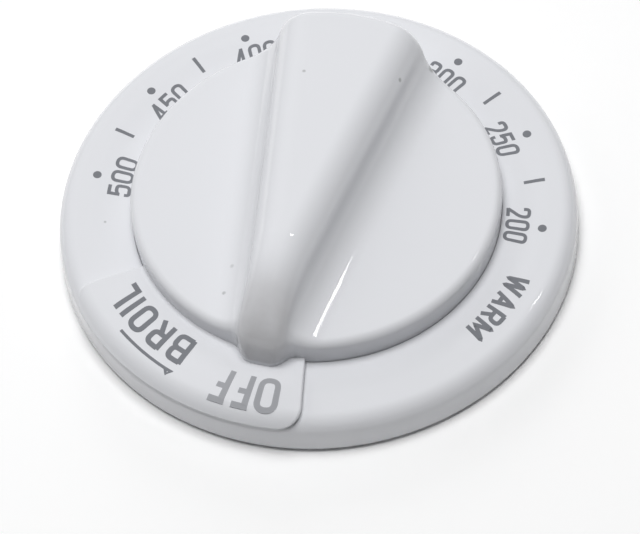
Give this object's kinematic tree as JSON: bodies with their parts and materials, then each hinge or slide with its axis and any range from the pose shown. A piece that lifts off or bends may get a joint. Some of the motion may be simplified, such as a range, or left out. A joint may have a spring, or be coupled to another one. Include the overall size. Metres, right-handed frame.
{
  "type": "oven thermostat knob",
  "caption": "Oven thermostat knob: a raised tapering grip on a round hub, clamped to a printed temperature skirt that can be reset by a few degrees.",
  "frame": {"origin": "on the shaft's axis, level with the lower edge of the skirt's rim", "axes": "+Z along the shaft towards the user, grip's nose along -Y"},
  "size_m": [0.0768, 0.0768, 0.0172],
  "materials": {
    "front_plastic": "glossy white moulding",
    "skirt_plastic": "glossy white moulding with grey print",
    "plate_steel": "zinc plated sheet",
    "screw_steel": "zinc plated",
    "spring_steel": "plain spring steel"
  },
  "bodies": {
    "front": {"knob_front": "front_plastic", "pointer_plate": "plate_steel", "clamp_screw_front": "screw_steel", "clamp_screw_rear": "screw_steel", "shaft_clip": "spring_steel"},
    "skirt": {"dial_skirt": "skirt_plastic"}
  },
  "joints": [
    {"name": "calibration_turn", "type": "hinge", "parent": "front", "child": "skirt", "pos_m": [0, 0, 0], "axis": [0, 0, 1], "range_deg": [-30, 30]}
  ]
}
